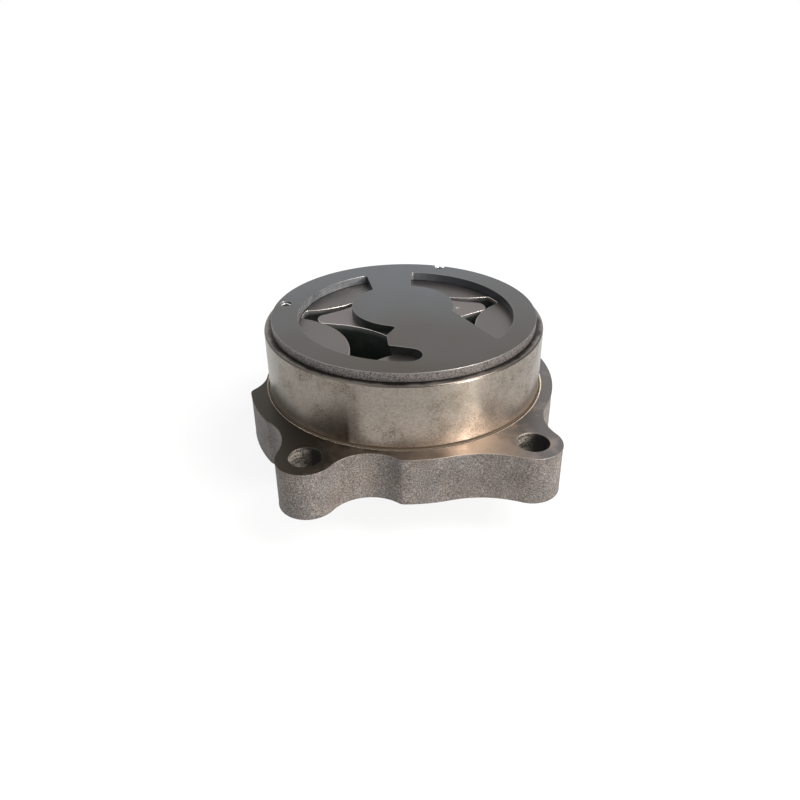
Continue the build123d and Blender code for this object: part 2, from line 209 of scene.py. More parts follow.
def bump(tree, shader, height, depth, strength=1.0):
    """Raises the surface by the height, in metres, where geometry would be too fine."""
    values = {"Height": height, "Distance": depth, "Strength": strength}
    tree.links.new(add(tree, "ShaderNodeBump", values).outputs["Normal"], shader.inputs["Normal"])


def near(tree, coords, place, reach):
    """One close to a place, fading to nothing at this reach."""
    away = add(tree, "ShaderNodeVectorMath", {0: coords, 1: place}, operation="DISTANCE")
    return remap(tree, away.outputs["Value"], reach * 0.4, reach, 1.0, 0.0)


def across(tree, coords, axis, low, high):
    """Nothing below one place along an axis, one above the other."""
    part = add(tree, "ShaderNodeSeparateXYZ", {"Vector": coords}).outputs[axis]
    return remap(tree, part, low, high)


def facing_left(tree, low, high):
    """Nothing on walls that face right, one on those that face left."""
    normal = add(tree, "ShaderNodeTexCoord").outputs["Normal"]
    part = add(tree, "ShaderNodeSeparateXYZ", {"Vector": normal}).outputs["X"]
    return remap(tree, part, high, low)


# ---- Materials ----


def sand_cast_iron(look):
    """Grey iron as it leaves the sand: matt, with light and dark grains, slow warm patches, and painted
    shade that darkens its far left.
    """
    material, tree, shader, coords = start_material("sand_cast_iron", 0.2, 0.65)
    grain = noise(tree, coords, look.grain_size, 2.0, 0.7)
    grains = ramp(tree, grain, (0.35, look.skin_dark), (0.5, look.skin), (0.66, look.skin_bright))
    warmth = noise(tree, coords, 14 * MM)
    tint = ramp(tree, warmth, (0.3, srgb("#f0f1f3")), (0.7, srgb("#fff9f3")))
    cloudy = noise(tree, coords, 6 * MM, 3.0)
    clouds = ramp(tree, cloudy, (0.35, srgb("#dcdbda")), (0.65, srgb("#ffffff")))
    # Painted shade: the skin darkens and cools towards its far left
    unshaded = across(tree, coords, "X", *SKIN_SHADE_FADE)
    left = ramp(tree, unshaded, (0.0, srgb("#d6dada")), (1.0, srgb("#ffffff")))
    colour = grains
    for layer in (tint, clouds, left):
        colour = blend(tree, 1.0, colour, layer, "MULTIPLY")
    tree.links.new(colour, shader.inputs["Base Color"])
    bump(tree, shader, grain, look.relief, 0.6)
    return material


def turned_iron(look):
    """Fine-turned pilot: satin, ringed by tool marks, with rust pits and stained patches, painted
    reflection that lightens it near the flange, painted shade that greys its left, and a painted dark
    reflection low on its left.
    """
    material, tree, shader, coords = start_material("turned_iron", 1.0, look.turned_roughness)
    # Painted reflection: the pilot turns lighter and warmer towards the flange
    warm = across(tree, coords, "Z", PILOT_TOP * 0.7, 0.0)
    # Painted shade: the pilot turns greyer towards its left
    left = across(tree, coords, "X", *PILOT_SHADE_FADE)
    base = blend(tree, left, blend(tree, warm, look.turned, look.turned_low_reflection), look.turned_left_shade)
    mottle = noise(tree, coords, 0.7 * MM, 4.0, 0.75)
    mottled = blend(tree, remap(tree, mottle, 0.4, 0.68, 0.0, 0.62), base, look.turned_stain)
    patches = remap(tree, noise(tree, coords, 7 * MM, 4.0, 0.6), 0.48, 0.72, 0.0, 0.5)
    patched = blend(tree, patches, mottled, look.turned_stain)
    # Painted dark reflection low on the pilot's left, with a sharp right edge and a ragged top
    darkened = across(tree, coords, "X", DARK_REFLECTION_START, DARK_REFLECTION_END)
    for fade in (
        across(tree, coords, "X", DARK_REFLECTION_END + MM, DARK_REFLECTION_END),
        across(tree, coords, "Y", 0.0, -10 * MM),
        across(tree, coords, "Z", look.dark_reflection_height, look.dark_reflection_height / 4),
        remap(tree, noise(tree, coords, 4 * MM, 3.0), 0.3, 0.6, 0.7, 0.95),
    ):
        darkened = add(tree, "ShaderNodeMath", {0: darkened, 1: fade}, operation="MULTIPLY").outputs[0]
    reflection_darkened = blend(tree, darkened, patched, look.painted_dark)
    share = remap(tree, noise(tree, coords, 7 * MM, 3.0), 0.36, 0.62, 0.0, 0.17)
    pit = add(tree, "ShaderNodeMath", {0: noise(tree, coords, 0.4 * MM, 3.0, 0.6), 1: share})
    pitted = remap(tree, pit.outputs[0], 0.69, 0.79, 0.0, 0.65)
    tree.links.new(blend(tree, pitted, reflection_darkened, look.rust), shader.inputs["Base Color"])
    rough = remap(tree, pitted, 0.0, 1.0, look.turned_roughness, 0.75)
    tree.links.new(rough, shader.inputs["Roughness"])
    rings = add(tree, "ShaderNodeMapping", {"Vector": coords, "Scale": (20.0, 20.0, 3000.0)})
    bump(tree, shader, noise(tree, rings.outputs["Vector"], 1.0), TOOL_MARK, 0.15)
    tangent = add(tree, "ShaderNodeTangent", direction_type="RADIAL", axis="Z")
    tree.links.new(tangent.outputs["Tangent"], shader.inputs["Tangent"])
    shader.inputs["Anisotropic"].default_value = look.turned_grain
    shader.inputs["Anisotropic Rotation"].default_value = 0.25
    return material


def faced_iron(name, stain, colour, far, roughness):
    """Faced iron: concentric tool marks round the pilot's axis, random clouds, and the three colours laid
    along X as painted light: shade at the left end, a highlight a little right of the middle, duller at
    the right end.
    """
    material, tree, shader, coords = start_material(name, 1.0, roughness)
    flat = add(tree, "ShaderNodeMapping", {"Vector": coords, "Scale": (1.0, 1.0, 0.0)})
    radius = add(tree, "ShaderNodeVectorMath", {0: flat.outputs["Vector"]}, operation="LENGTH")
    values = {"W": radius.outputs["Value"], "Scale": 1 / (0.45 * MM), "Detail": 2.0}
    marks = add(tree, "ShaderNodeTexNoise", values, noise_dimensions="1D").outputs["Fac"]
    clouds = noise(tree, coords, 9 * MM, 4.0, 0.6)
    # Painted light along X: painted shade at the left end, a painted highlight a little right of the
    # middle, duller at the right end
    side = across(tree, coords, "X", *SEAT_SHADE_FADE)
    painted_dark = add(tree, "ShaderNodeMath", {0: remap(tree, clouds, 0.3, 0.7, -0.15, 0.15), 1: side})
    shade = ramp(tree, painted_dark.outputs[0], (0.12, stain), (0.66, colour), (0.74, colour), (0.9, far))
    tree.links.new(shade, shader.inputs["Base Color"])
    rough = remap(tree, marks, 0.0, 1.0, roughness - 0.06, roughness + 0.08)
    tree.links.new(rough, shader.inputs["Roughness"])
    bump(tree, shader, marks, TOOL_MARK, 0.25)
    return material


def turned_land(look):
    """The narrow land round the plate: turned bright, with a painted shadow that darkens it against the
    plate.
    """
    material, tree, shader, coords = start_material("turned_land", 0.9, 0.4)
    flat = add(tree, "ShaderNodeMapping", {"Vector": coords, "Scale": (1.0, 1.0, 0.0)})
    radius = add(tree, "ShaderNodeVectorMath", {0: flat.outputs["Vector"]}, operation="LENGTH")
    wander = remap(tree, noise(tree, coords, 5 * MM, 3.0), 0.3, 0.7, -0.3, 0.3)
    # Painted shadow: the land darkens towards the plate's rim
    outward = remap(tree, radius.outputs["Value"], PLATE_R, PILOT_R)
    share = add(tree, "ShaderNodeMath", {0: outward, 1: wander})
    shade = ramp(tree, share.outputs[0], (0.3, look.land_shadow), (0.8, look.land))
    tree.links.new(shade, shader.inputs["Base Color"])
    return material


def drilled_iron(look):
    """The wall of a drilled hole: feed rings and torn bright grains on dark iron, with painted shade on
    the walls that face left.
    """
    material, tree, shader, coords = start_material("drilled_iron", 0.2, 0.5)
    feed = add(tree, "ShaderNodeMapping", {"Vector": coords, "Scale": (150.0, 150.0, 1800.0)})
    rings = noise(tree, feed.outputs["Vector"], 1.0)
    torn = noise(tree, coords, 0.45 * MM, 3.0, 0.7)
    both = add(tree, "ShaderNodeMath", {0: rings, 1: 0.5, 2: torn}, operation="MULTIPLY_ADD")
    grains = remap(tree, both.outputs[0], 0.55, 0.95)
    colour = ramp(tree, grains, (0.2, look.drilled_dark), (0.8, look.drilled_bright))
    # Painted shade on the walls that face left
    shade = blend(tree, facing_left(tree, -0.4, 0.4), colour, look.drilled_shade)
    tree.links.new(shade, shader.inputs["Base Color"])
    bump(tree, shader, grains, TORN_GRAIN, 0.5)
    return material


def ground_steel(name, colour, tint, roughness):
    """Ground steel: satin, cooler to the rear, with fine scratches along the grinding."""
    material, tree, shader, coords = start_material(name, 1.0, roughness)
    cloud = noise(tree, coords, 25 * MM)
    rear = across(tree, coords, "Y", *STEEL_FADE)
    cool = add(tree, "ShaderNodeMath", {0: remap(tree, cloud, 0.3, 0.7, -0.25, 0.25), 1: rear})
    shade = blend(tree, remap(tree, cool.outputs[0], 0.0, 1.0), tint, colour)
    tree.links.new(shade, shader.inputs["Base Color"])
    lay = add(tree, "ShaderNodeMapping", {"Vector": coords, "Scale": (150.0, 2500.0, 150.0)})
    scratches = noise(tree, lay.outputs["Vector"], 1.0)
    rough = remap(tree, scratches, 0.0, 1.0, roughness - 0.05, roughness + 0.05)
    tree.links.new(rough, shader.inputs["Roughness"])
    return material


def grainy_steel(name, dark, bright, size):
    """Blanked steel: coarse dark and bright grains."""
    material, tree, shader, coords = start_material(name, 0.7, 0.5)
    grains = noise(tree, coords, size, 2.0, 0.7)
    tree.links.new(ramp(tree, grains, (0.36, dark), (0.64, bright)), shader.inputs["Base Color"])
    bump(tree, shader, grains, size / 5, 0.6)
    return material


def cut_wall(look):
    """The milled walls of the ports: smooth grey steel, with painted shade on walls that face left, and
    darker round the narrow slot.
    """
    material, tree, shader, coords = start_material("milled_port_wall", 0.5, 0.4)
    clouds = noise(tree, coords, 3 * MM, 3.0)
    unshaded = ramp(tree, clouds, (0.35, look.wall), (0.65, look.wall_bright))
    # Painted shade on the walls that face left
    before_slot = blend(tree, facing_left(tree, -0.5, 0.1), unshaded, look.wall_shade)
    # Darker round the mouth of the narrow slot
    shade = blend(tree, near(tree, coords, SLOT_MOUTH, SLOT_DARK_REACH), before_slot, look.wall_slot_dark)
    tree.links.new(shade, shader.inputs["Base Color"])
    lay = add(tree, "ShaderNodeMapping", {"Vector": coords, "Scale": (2200.0, 2200.0, 250.0)})
    bump(tree, shader, noise(tree, lay.outputs["Vector"], 1.0), TOOL_MARK, 0.3)
    return material


def shaded_flank(look):
    """Rolled flanks: satin at the rim, darkened lower down by painted shade."""
    material, tree, shader, coords = start_material("rolled_flank", 0.75, 0.42)
    # Painted shade: the flanks darken lower down, below the plate
    depth = across(tree, coords, "Z", PLATE_LOW.z - 0.1 * MM, PLATE_LOW.z - 1.8 * MM)
    patchy = remap(tree, noise(tree, coords, 5 * MM, 3.0), 0.3, 0.7, 0.8, 1.2)
    share = add(tree, "ShaderNodeMath", {0: depth, 1: patchy}, operation="MULTIPLY", use_clamp=True)
    tree.links.new(blend(tree, share.outputs[0], look.flank, look.flank_shade), shader.inputs["Base Color"])
    return material


def plain_metal(name, colour, roughness, metallic=1.0):
    """A small bright part: one metal whose roughness drifts a little from place to place."""
    material, tree, shader, coords = start_material(name, metallic, roughness)
    rough = remap(tree, noise(tree, coords, 2.5 * MM, 3.0), 0.0, 1.0, roughness - 0.08, roughness + 0.08)
    shader.inputs["Base Color"].default_value = colour
    tree.links.new(rough, shader.inputs["Roughness"])
    return material


# ---- Meshes ----


def clean_copy(node):
    """A copy of a CAD node's mesh with its triangles merged into whole faces."""
    shape = bmesh.new()
    shape.from_mesh(frame["nodes"][node].data)
    bmesh.ops.remove_doubles(shape, verts=shape.verts, dist=MM / 1000)
    bmesh.ops.dissolve_limit(
        shape, angle_limit=math.radians(0.3), verts=[], edges=shape.edges, delimit=set()
    )
    shape.normal_update()
    return shape


def paint(shape, zone_of, zones):
    """Gives each face the material of the zone that zone_of names for its centre and normal."""
    for face in shape.faces:
        face.material_index = zones.index(zone_of(face.calc_center_median(), face.normal))
        face.smooth = True


def as_object(name, shape, materials):
    """Turns the shape into an object that stands at the origin."""
    mesh = bpy.data.meshes.new(name)
    shape.to_mesh(mesh)
    shape.free()
    for material in materials:
        mesh.materials.append(material)
    piece = bpy.data.objects.new(name, mesh)
    bpy.context.scene.collection.objects.link(piece)
    return piece


def baked(piece):
    """Replaces the piece's mesh by its evaluated mesh and removes its modifiers."""
    graph = bpy.context.evaluated_depsgraph_get()
    mesh = bpy.data.meshes.new_from_object(
        piece.evaluated_get(graph), preserve_all_data_layers=True, depsgraph=graph
    )
    piece.modifiers.clear()
    piece.data = mesh
    mesh.name = piece.name
    return piece


def break_edges(piece, width, edge_material=-1):
    """Breaks the sharp edges and keeps the big faces flat in shading."""
    bevel = piece.modifiers.new("Broken edges", "BEVEL")
    bevel.width = width
    bevel.segments = 2
    bevel.limit_method = "ANGLE"
    bevel.angle_limit = math.radians(35)
    bevel.use_clamp_overlap = False
    bevel.material = edge_material
    normals = piece.modifiers.new("Face normals", "WEIGHTED_NORMAL")
    normals.keep_sharp = False
    return baked(piece)


def new_tree(name, sockets):
    """A Geometry Nodes tree with its named inputs. Returns the tree, its inputs and its output."""
    tree = bpy.data.node_groups.new(name, "GeometryNodeTree")
    tree.interface.new_socket("Geometry", in_out="INPUT", socket_type="NodeSocketGeometry")
    for label, kind in sockets.items():
        tree.interface.new_socket(label, in_out="INPUT", socket_type="NodeSocket" + kind)
    tree.interface.new_socket("Geometry", in_out="OUTPUT", socket_type="NodeSocketGeometry")
    return tree, add(tree, "NodeGroupInput").outputs, add(tree, "NodeGroupOutput")


def grow(piece, tree, values):
    """Runs the tree on the piece with these inputs and keeps the result as a plain mesh."""
    modifier = piece.modifiers.new(tree.name, "NODES")
    modifier.node_group = tree
    for item in tree.interface.items_tree:
        if item.in_out == "INPUT" and item.name in values:
            modifier[item.identifier] = values[item.name]
    return baked(piece)


def rolled_pin_tree():
    """A pin rolled from strip, set on every point of the incoming mesh."""
    sizes = {name: "Float" for name in ("Radius", "Wall", "Length", "Slot")}
    sizes["Steel"] = "Material"
    tree, given, output = new_tree("rolled pin", sizes)
    sweep = add(tree, "ShaderNodeMath", {0: 2 * math.pi, 1: given["Slot"]}, operation="SUBTRACT")
    start = add(tree, "ShaderNodeMath", {0: given["Slot"], 1: 0.5}, operation="MULTIPLY")
    path = {
        "Resolution": 40,
        "Radius": given["Radius"],
        "Start Angle": start.outputs[0],
        "Sweep Angle": sweep.outputs[0],
    }
    strip = {"Width": given["Wall"], "Height": given["Length"]}
    roll = add(
        tree,
        "GeometryNodeCurveToMesh",
        {
            "Curve": add(tree, "GeometryNodeCurveArc", path).outputs["Curve"],
            "Profile Curve": add(tree, "GeometryNodeCurvePrimitiveQuadrilateral", strip).outputs["Curve"],
            "Fill Caps": True,
        },
    )
    pins = add(
        tree,
        "GeometryNodeInstanceOnPoints",
        {"Points": given["Geometry"], "Instance": roll.outputs["Mesh"]},
    )
    real = add(tree, "GeometryNodeRealizeInstances", {"Geometry": pins.outputs["Instances"]})
    done = add(
        tree,
        "GeometryNodeSetMaterial",
        {"Geometry": real.outputs["Geometry"], "Material": given["Steel"]},
    )
    tree.links.new(done.outputs["Geometry"], output.inputs["Geometry"])
    return tree


def cast_relief_tree():
    """Sinks the surface by a sandy pattern, by as much as each point's cast share allows."""
    sizes = {name: "Float" for name in ("Grain", "Relief", "Wave", "Wave depth", "Seed")}
    sizes["Skin"] = "Material"
    tree, given, output = new_tree("cast relief", sizes)
    share = add(tree, "GeometryNodeInputNamedAttribute", {"Name": "cast_share"}, data_type="FLOAT")
    depths = []
    for size, depth in (("Grain", "Relief"), ("Wave", "Wave depth")):
        scale = add(tree, "ShaderNodeMath", {0: 1.0, 1: given[size]}, operation="DIVIDE")
        values = {"W": given["Seed"], "Scale": scale.outputs[0], "Detail": 2.0, "Roughness": 0.6}
        sand = add(tree, "ShaderNodeTexNoise", values, noise_dimensions="4D").outputs[0]
        part = add(tree, "ShaderNodeMath", {0: sand, 1: given[depth]}, operation="MULTIPLY")
        depths.append(part.outputs[0])
    depth = add(tree, "ShaderNodeMath", {0: depths[0], 1: depths[1]})
    sunk = add(tree, "ShaderNodeMath", {0: depth.outputs[0], 1: share.outputs[0]}, operation="MULTIPLY")
    normal = add(tree, "GeometryNodeInputNormal").outputs[0]
    outward = add(tree, "ShaderNodeVectorMath", {0: normal, "Scale": sunk.outputs[0]}, operation="SCALE")
    inward = add(tree, "ShaderNodeVectorMath", {0: outward.outputs[0], "Scale": -1.0}, operation="SCALE")
    moved = add(
        tree, "GeometryNodeSetPosition", {"Geometry": given["Geometry"], "Offset": inward.outputs[0]}
    )
    real = add(tree, "GeometryNodeRealizeInstances", {"Geometry": moved.outputs["Geometry"]})
    slot = add(tree, "GeometryNodeInputMaterialIndex").outputs[0]
    cast = add(tree, "FunctionNodeCompare", {2: slot, 3: SKIN_SLOT}, data_type="INT", operation="EQUAL")
    done = add(
        tree,
        "GeometryNodeSetMaterial",
        {
            "Geometry": real.outputs["Geometry"],
            "Selection": cast.outputs["Result"],
            "Material": given["Skin"],
        },
    )
    tree.links.new(done.outputs["Geometry"], output.inputs["Geometry"])
    return tree


def mount_piece(piece, body, slot, *nodes):
    """Rides the finished piece on its body, in place of its CAD nodes."""
    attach(piece, body)
    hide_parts(*nodes)


# ---- Sizes and colours a user can change ----


class PumpCastingLook(bpy.types.PropertyGroup):
    """The iron body."""

    grain_size: FloatProperty(
        name="Sand grain", description="Size of the cast skin's grain", default=0.36 * MM, min=0.1 * MM,
        unit="LENGTH",
    )
    relief: FloatProperty(
        name="Skin relief", description="Depth of the cast skin's grain", default=0.06 * MM, min=0,
        unit="LENGTH",
    )
    edge: FloatProperty(
        name="Edge break", description="Width of the broken edges", default=0.2 * MM, min=0, unit="LENGTH"
    )
    foot_width: FloatProperty(
        name="Foot ring", description="Width of the burnished ring at the pilot's foot", default=0.36 * MM,
        min=0, unit="LENGTH",
    )
    # How high the painted dark reflection reaches up the pilot
    dark_reflection_height: FloatProperty(
        name="Oil stain", description="Height of the oily stain on the pilot", default=13 * MM, min=0,
        unit="LENGTH",
    )
    turned_roughness: FloatProperty(
        name="Pilot roughness", description="Shader roughness of the turned pilot", default=0.32, min=0,
        max=1,
    )
    turned_grain: FloatProperty(
        name="Pilot lay", description="How far the tool marks draw out highlights", default=0.75, min=0,
        max=1,
    )
    skin_dark: colour_property("Skin, dark", "Dark grains of the cast skin", "#3a3532")
    skin: colour_property("Skin", "Cast skin", "#5e5956")
    skin_bright: colour_property("Skin, bright", "Bright grains of the cast skin", "#847d78")
    turned: colour_property("Pilot", "Turned pilot", "#989087")
    # Painted reflection: the lighter, warmer colour of the pilot near the flange
    turned_low_reflection: colour_property("Pilot, low", "Turned pilot near the flange", "#b0a194")
    # Painted shade on the left side of the pilot
    turned_left_shade: colour_property("Pilot, left", "Greyer left side of the pilot", "#87827b")
    turned_stain: colour_property("Pilot stain", "Stained patches of the pilot", "#6b6255")
    # Colour of the painted dark reflection low on the pilot's left
    painted_dark: colour_property("Oil", "Dried oil on the pilot", "#3f372b")
    rust: colour_property("Rust", "Rust in the pits", "#453627")
    # The foot ring's colour: a burnished ring painted near-white as a highlight
    rim: colour_property("Foot ring", "Burnished ring round the pilot's foot", "#fff4e2")
    # The seat's colours are painted light along X: shade at the left end, this colour as a highlight a
    # little right of the middle, and the duller tone at the right end
    faced: colour_property("Seat", "Faced flange seat", "#968a80")
    faced_far: colour_property("Seat, right", "Duller right end of the seat", "#6a6766")
    faced_shade: colour_property("Seat stain", "Oily left end of the seat", "#39332c")
    bored: colour_property("Bores", "Bored pocket and ports", "#33312e")
    land: colour_property("Land", "Turned land round the plate", "#7a7571")
    # Painted shadow on the land against the plate
    land_shadow: colour_property("Land, oily", "Oil left on the land against the plate", "#24211e")
    relief_colour: colour_property("Relief", "Relief groove at the pilot's foot", "#64584b")
    chamfer: colour_property("Chamfer", "Chamfer of the pilot", "#544e48")
    drilled_dark: colour_property("Hole, dark", "Dark grains of a drilled wall", "#24211e")
    # Painted shade on the walls of a hole that face left
    drilled_shade: colour_property("Hole, oily", "Oily side of a drilled wall", "#151413")
    drilled_bright: colour_property("Hole, bright", "Bright grains of a drilled wall", "#8c857c")


class PumpPlateLook(bpy.types.PropertyGroup):
    """The steel port plate and its pins."""

    edge: FloatProperty(
        name="Edge break", description="Width of the broken edges", default=0.12 * MM, min=0, unit="LENGTH"
    )
    pin_wall: FloatProperty(
        name="Pin wall", description="Thickness of the pins' strip", default=0.6 * MM, min=0, unit="LENGTH"
    )
    pin_slot: FloatProperty(
        name="Pin slot", description="Opening of the pins' slot", default=math.radians(26), subtype="ANGLE"
    )
    top: colour_property("Plate", "Ground plate face", "#5f6265")
    top_tint: colour_property("Plate tint", "Warmer front of the plate", "#534d47")
    wall: colour_property("Port walls", "Cut walls of the ports", "#606164")
    wall_bright: colour_property("Port walls, bright", "Bright patches of the port walls", "#7a7c80")
    # Painted shade on the port walls that face left
    wall_shade: colour_property("Port walls, dull", "Duller walls that face left", "#3e4043")
    # Darker colour of the port walls round the narrow slot
    wall_slot_dark: colour_property("Slot oil", "Oily walls round the narrow slot", "#191b1a")
    rim_dark: colour_property("Rim, dark", "Dark grains of the rim", "#2b2827")
    rim_bright: colour_property("Rim, bright", "Bright grains of the rim", "#817b78")
    edge_colour: colour_property("Edges", "Burnished edges of the plate", "#7b7876")
    pin: colour_property("Pins", "Spring steel pins", "#d8d6d2")


class PumpRotorLook(bpy.types.PropertyGroup):
    """The two rotors."""

    edge: FloatProperty(
        name="Edge break", description="Width of the burnished edges", default=0.16 * MM, min=0,
        unit="LENGTH",
    )
    inner_face: colour_property("Inner face", "Ground ends of the inner rotor", "#7c7574")
    outer_face: colour_property("Outer face", "Ground ends of the outer rotor", "#646160")
    face_tint: colour_property("Rotor tint", "Oil tint on the rotors", "#6b6663")
    flank: colour_property("Flanks", "Lobes, burnished by rolling", "#8b898a")
    # Painted shade on the lower part of the flanks
    flank_shade: colour_property("Flank oil", "Oil on the lower part of the flanks", "#414743")
    edge_colour: colour_property("Edges", "Burnished rotor edges", "#bdb7b0")


class PumpDriveLook(bpy.types.PropertyGroup):
    """The shaft, gear, bush and small drive parts."""

    edge: FloatProperty(
        name="Edge break", description="Width of the broken edges", default=0.15 * MM, min=0, unit="LENGTH"
    )
    shaft: colour_property("Shaft", "Ground shaft, key and cross pin", "#a5a19c")
    gear: colour_property("Gear", "Hobbed gear", "#7f7b77")
    gear_tint: colour_property("Gear tint", "Oil tint on the gear", "#6c6863")
    bush: colour_property("Bush", "Sintered bronze bush", "#a8834f")
    washer: colour_property("Washer", "Hardened thrust washer", "#8f8d8a")
    clip: colour_property("Clip", "Phosphated spring clip", "#2b2b2a")


class PumpStageLook(bpy.types.PropertyGroup):
    """Lamps, floor and camera."""

    key_power: FloatProperty(
        name="Key lamp", description="Power of the key lamp", default=7.0, unit="POWER"
    )
    low_power: FloatProperty(
        name="Low lamp", description="Power of the low lamp", default=5.0, unit="POWER"
    )
    fill_power: FloatProperty(
        name="Fill lamp", description="Power of the fill lamp", default=1.0, unit="POWER"
    )
    ambient: FloatProperty(name="Ambient", description="Strength of the surrounding light", default=0.45)
    floor: colour_property("Floor", "Plain pale floor", "#fafafa")


# ---- Operators ----


class PUMP_OT_casting(bpy.types.Operator):
    """Dress the pump body: cast skin, faced seat, turned pilot, drilled and bored holes"""

    bl_idname = "pump.casting"
    bl_label = "Pump body"

    def execute(self, context):
        look = context.scene.pump_casting
        zones = ["skin", "faced", "turned", "drilled", "bored", "foot", "land", "relief", "chamfer"]
        materials = [
            sand_cast_iron(look),
            faced_iron("faced_iron", look.faced_shade, look.faced, look.faced_far, 0.4),
            turned_iron(look),
            drilled_iron(look),
            faced_iron("bored_iron", look.bored, look.bored, look.bored, 0.4),
            # A burnished ring, painted near-white and without metal sheen as a highlight
            plain_metal("foot_ring_highlight", look.rim, roughness=0.35, metallic=0.0),
            turned_land(look),
            plain_metal("turned_relief", look.relief_colour, roughness=0.45, metallic=0.6),
            plain_metal("turned_chamfer", look.chamfer, roughness=0.22),
        ]

        def zone_of(centre, normal):
            radius = centre.xy.length
            if normal.z > 0.9 and abs(centre.z) < ON_PLANE:
                return "faced"
            if normal.z > 0.9 and centre.z > PILOT_TOP - ON_TOP:
                return "land"
            if normal.z > 0.9:
                return "relief" if -ON_WALL < centre.z < 0 else "bored"
            flat = Vector((centre.x, centre.y, 0))
            if abs(normal.z) < 0.5 and min((flat - bolt).length for bolt in BOLTS) < HOLE_R * 1.02:
                return "drilled"
            if abs(radius - PILOT_R) < ON_WALL and -ON_WALL < centre.z < ON_WALL / 2:
                return "relief"
            if abs(radius - PILOT_R) < ON_WALL and centre.z > 0 and normal.xy.dot(centre.xy) > 0:
                return "chamfer" if normal.z > 0.3 else "turned"
            if radius > PILOT_R + ON_WALL or (normal.z < -0.5 and centre.z > HUB_FACE + ON_WALL):
                return "skin"
            return "bored"

        def at_foot(edge):
            low = PILOT_R + ON_WALL / 4
            high = PILOT_R + ON_WALL
            return all(low < v.co.xy.length < high and abs(v.co.z) < ON_PLANE for v in edge.verts)

        shape = clean_copy("pump_body")
        paint(shape, zone_of, zones)
        bmesh.ops.bevel(
            shape,
            geom=[edge for edge in shape.edges if at_foot(edge)],
            offset=look.foot_width,
            segments=2,
            profile=0.5,
            affect="EDGES",
            material=zones.index("foot"),
        )
        share_out_cast_walls(shape)
        piece = as_object("body_casting", shape, materials)
        sizes = {
            "Grain": look.grain_size * 2,
            "Relief": look.relief,
            "Wave": CAST_WAVE,
            "Wave depth": CAST_WAVE_DEPTH,
            "Seed": CAST_SEED,
            "Skin": materials[SKIN_SLOT],
        }
        break_edges(grow(piece, cast_relief_tree(), sizes), look.edge)
        mount_piece(piece, "housing", "cast_iron_body", "pump_body")
        return {"FINISHED"}


def is_cast_wall(face):
    """Whether the face is part of the flange's upright wall of cast skin."""
    return face.material_index == SKIN_SLOT and abs(face.normal.z) < 0.1


def is_tall(edge):
    """Whether the edge runs up the flange's wall."""
    return abs(edge.verts[0].co.z - edge.verts[1].co.z) > CAST_TALL


def share_out_cast_walls(shape):
    """Cuts the flange's cast wall into small faces and marks how far each point is from its rims.

    The upper rim is the seat's, at height 0."""
    edges = {edge for face in shape.faces if is_cast_wall(face) for edge in face.edges}
    tall = [edge for edge in edges if is_tall(edge)]
    rows = round(tall[0].calc_length() / CAST_STEP)
    bmesh.ops.subdivide_edges(shape, edges=tall, cuts=rows - 1, use_grid_fill=True)
    share = shape.verts.layers.float.new("cast_share")
    bottom = min(v.co.z for edge in tall for v in edge.verts)
    for face in shape.faces:
        if is_cast_wall(face):
            for v in face.verts:
                rim = min(-v.co.z, v.co.z - bottom)
                v[share] = min(max(rim / (2 * CAST_STEP), 0.0), 1.0)


class PUMP_OT_plate(bpy.types.Operator):
    """Dress the port plate: ground face, blanked rim, cut port walls and burnished edges"""

    bl_idname = "pump.plate"
    bl_label = "Port plate"

    def execute(self, context):
        look = context.scene.pump_plate
        zones = ["face", "rim", "wall"]
        materials = [
            ground_steel("ground_steel", look.top, look.top_tint, 0.4),
            grainy_steel("blanked_steel_rim", look.rim_dark, look.rim_bright, 0.32 * MM),
            cut_wall(look),
            plain_metal("burnished_steel", look.edge_colour, 0.35),
        ]

        def zone_of(centre, normal):
            if abs(normal.z) > 0.5:
                return "face"
            return "rim" if centre.xy.length > PLATE_R - MM / 2 else "wall"

        shape = clean_copy("port_plate")
        paint(shape, zone_of, zones)
        piece = break_edges(as_object("plate", shape, materials), look.edge, edge_material=3)
        mount_piece(piece, "housing", "ground_steel", "port_plate")
        return {"FINISHED"}


class PUMP_OT_pins(bpy.types.Operator):
    """Roll the two spring pins from strip and set them in the body"""

    bl_idname = "pump.pins"
    bl_label = "Plate pins"

    def execute(self, context):
        look = context.scene.pump_plate
        radius = (PIN_HIGH.y - PIN_LOW.y) / 2
        shape = bmesh.new()
        for node in ("left_plate_pin", "rear_plate_pin"):
            low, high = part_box(node)
            shape.verts.new((low.x + radius, (low.y + high.y) / 2, (low.z + high.z) / 2))
        steel = plain_metal("spring_steel", look.pin, 0.25)
        piece = as_object("rolled_pins", shape, [])
        sizes = {
            "Radius": radius - look.pin_wall / 2,
            "Wall": look.pin_wall,
            "Length": PIN_HIGH.z - PIN_LOW.z,
            "Slot": look.pin_slot,
            "Steel": steel,
        }
        break_edges(grow(piece, rolled_pin_tree(), sizes), PIN_EDGE)
        mount_piece(piece, "housing", "spring_steel", "left_plate_pin", "rear_plate_pin")
        return {"FINISHED"}


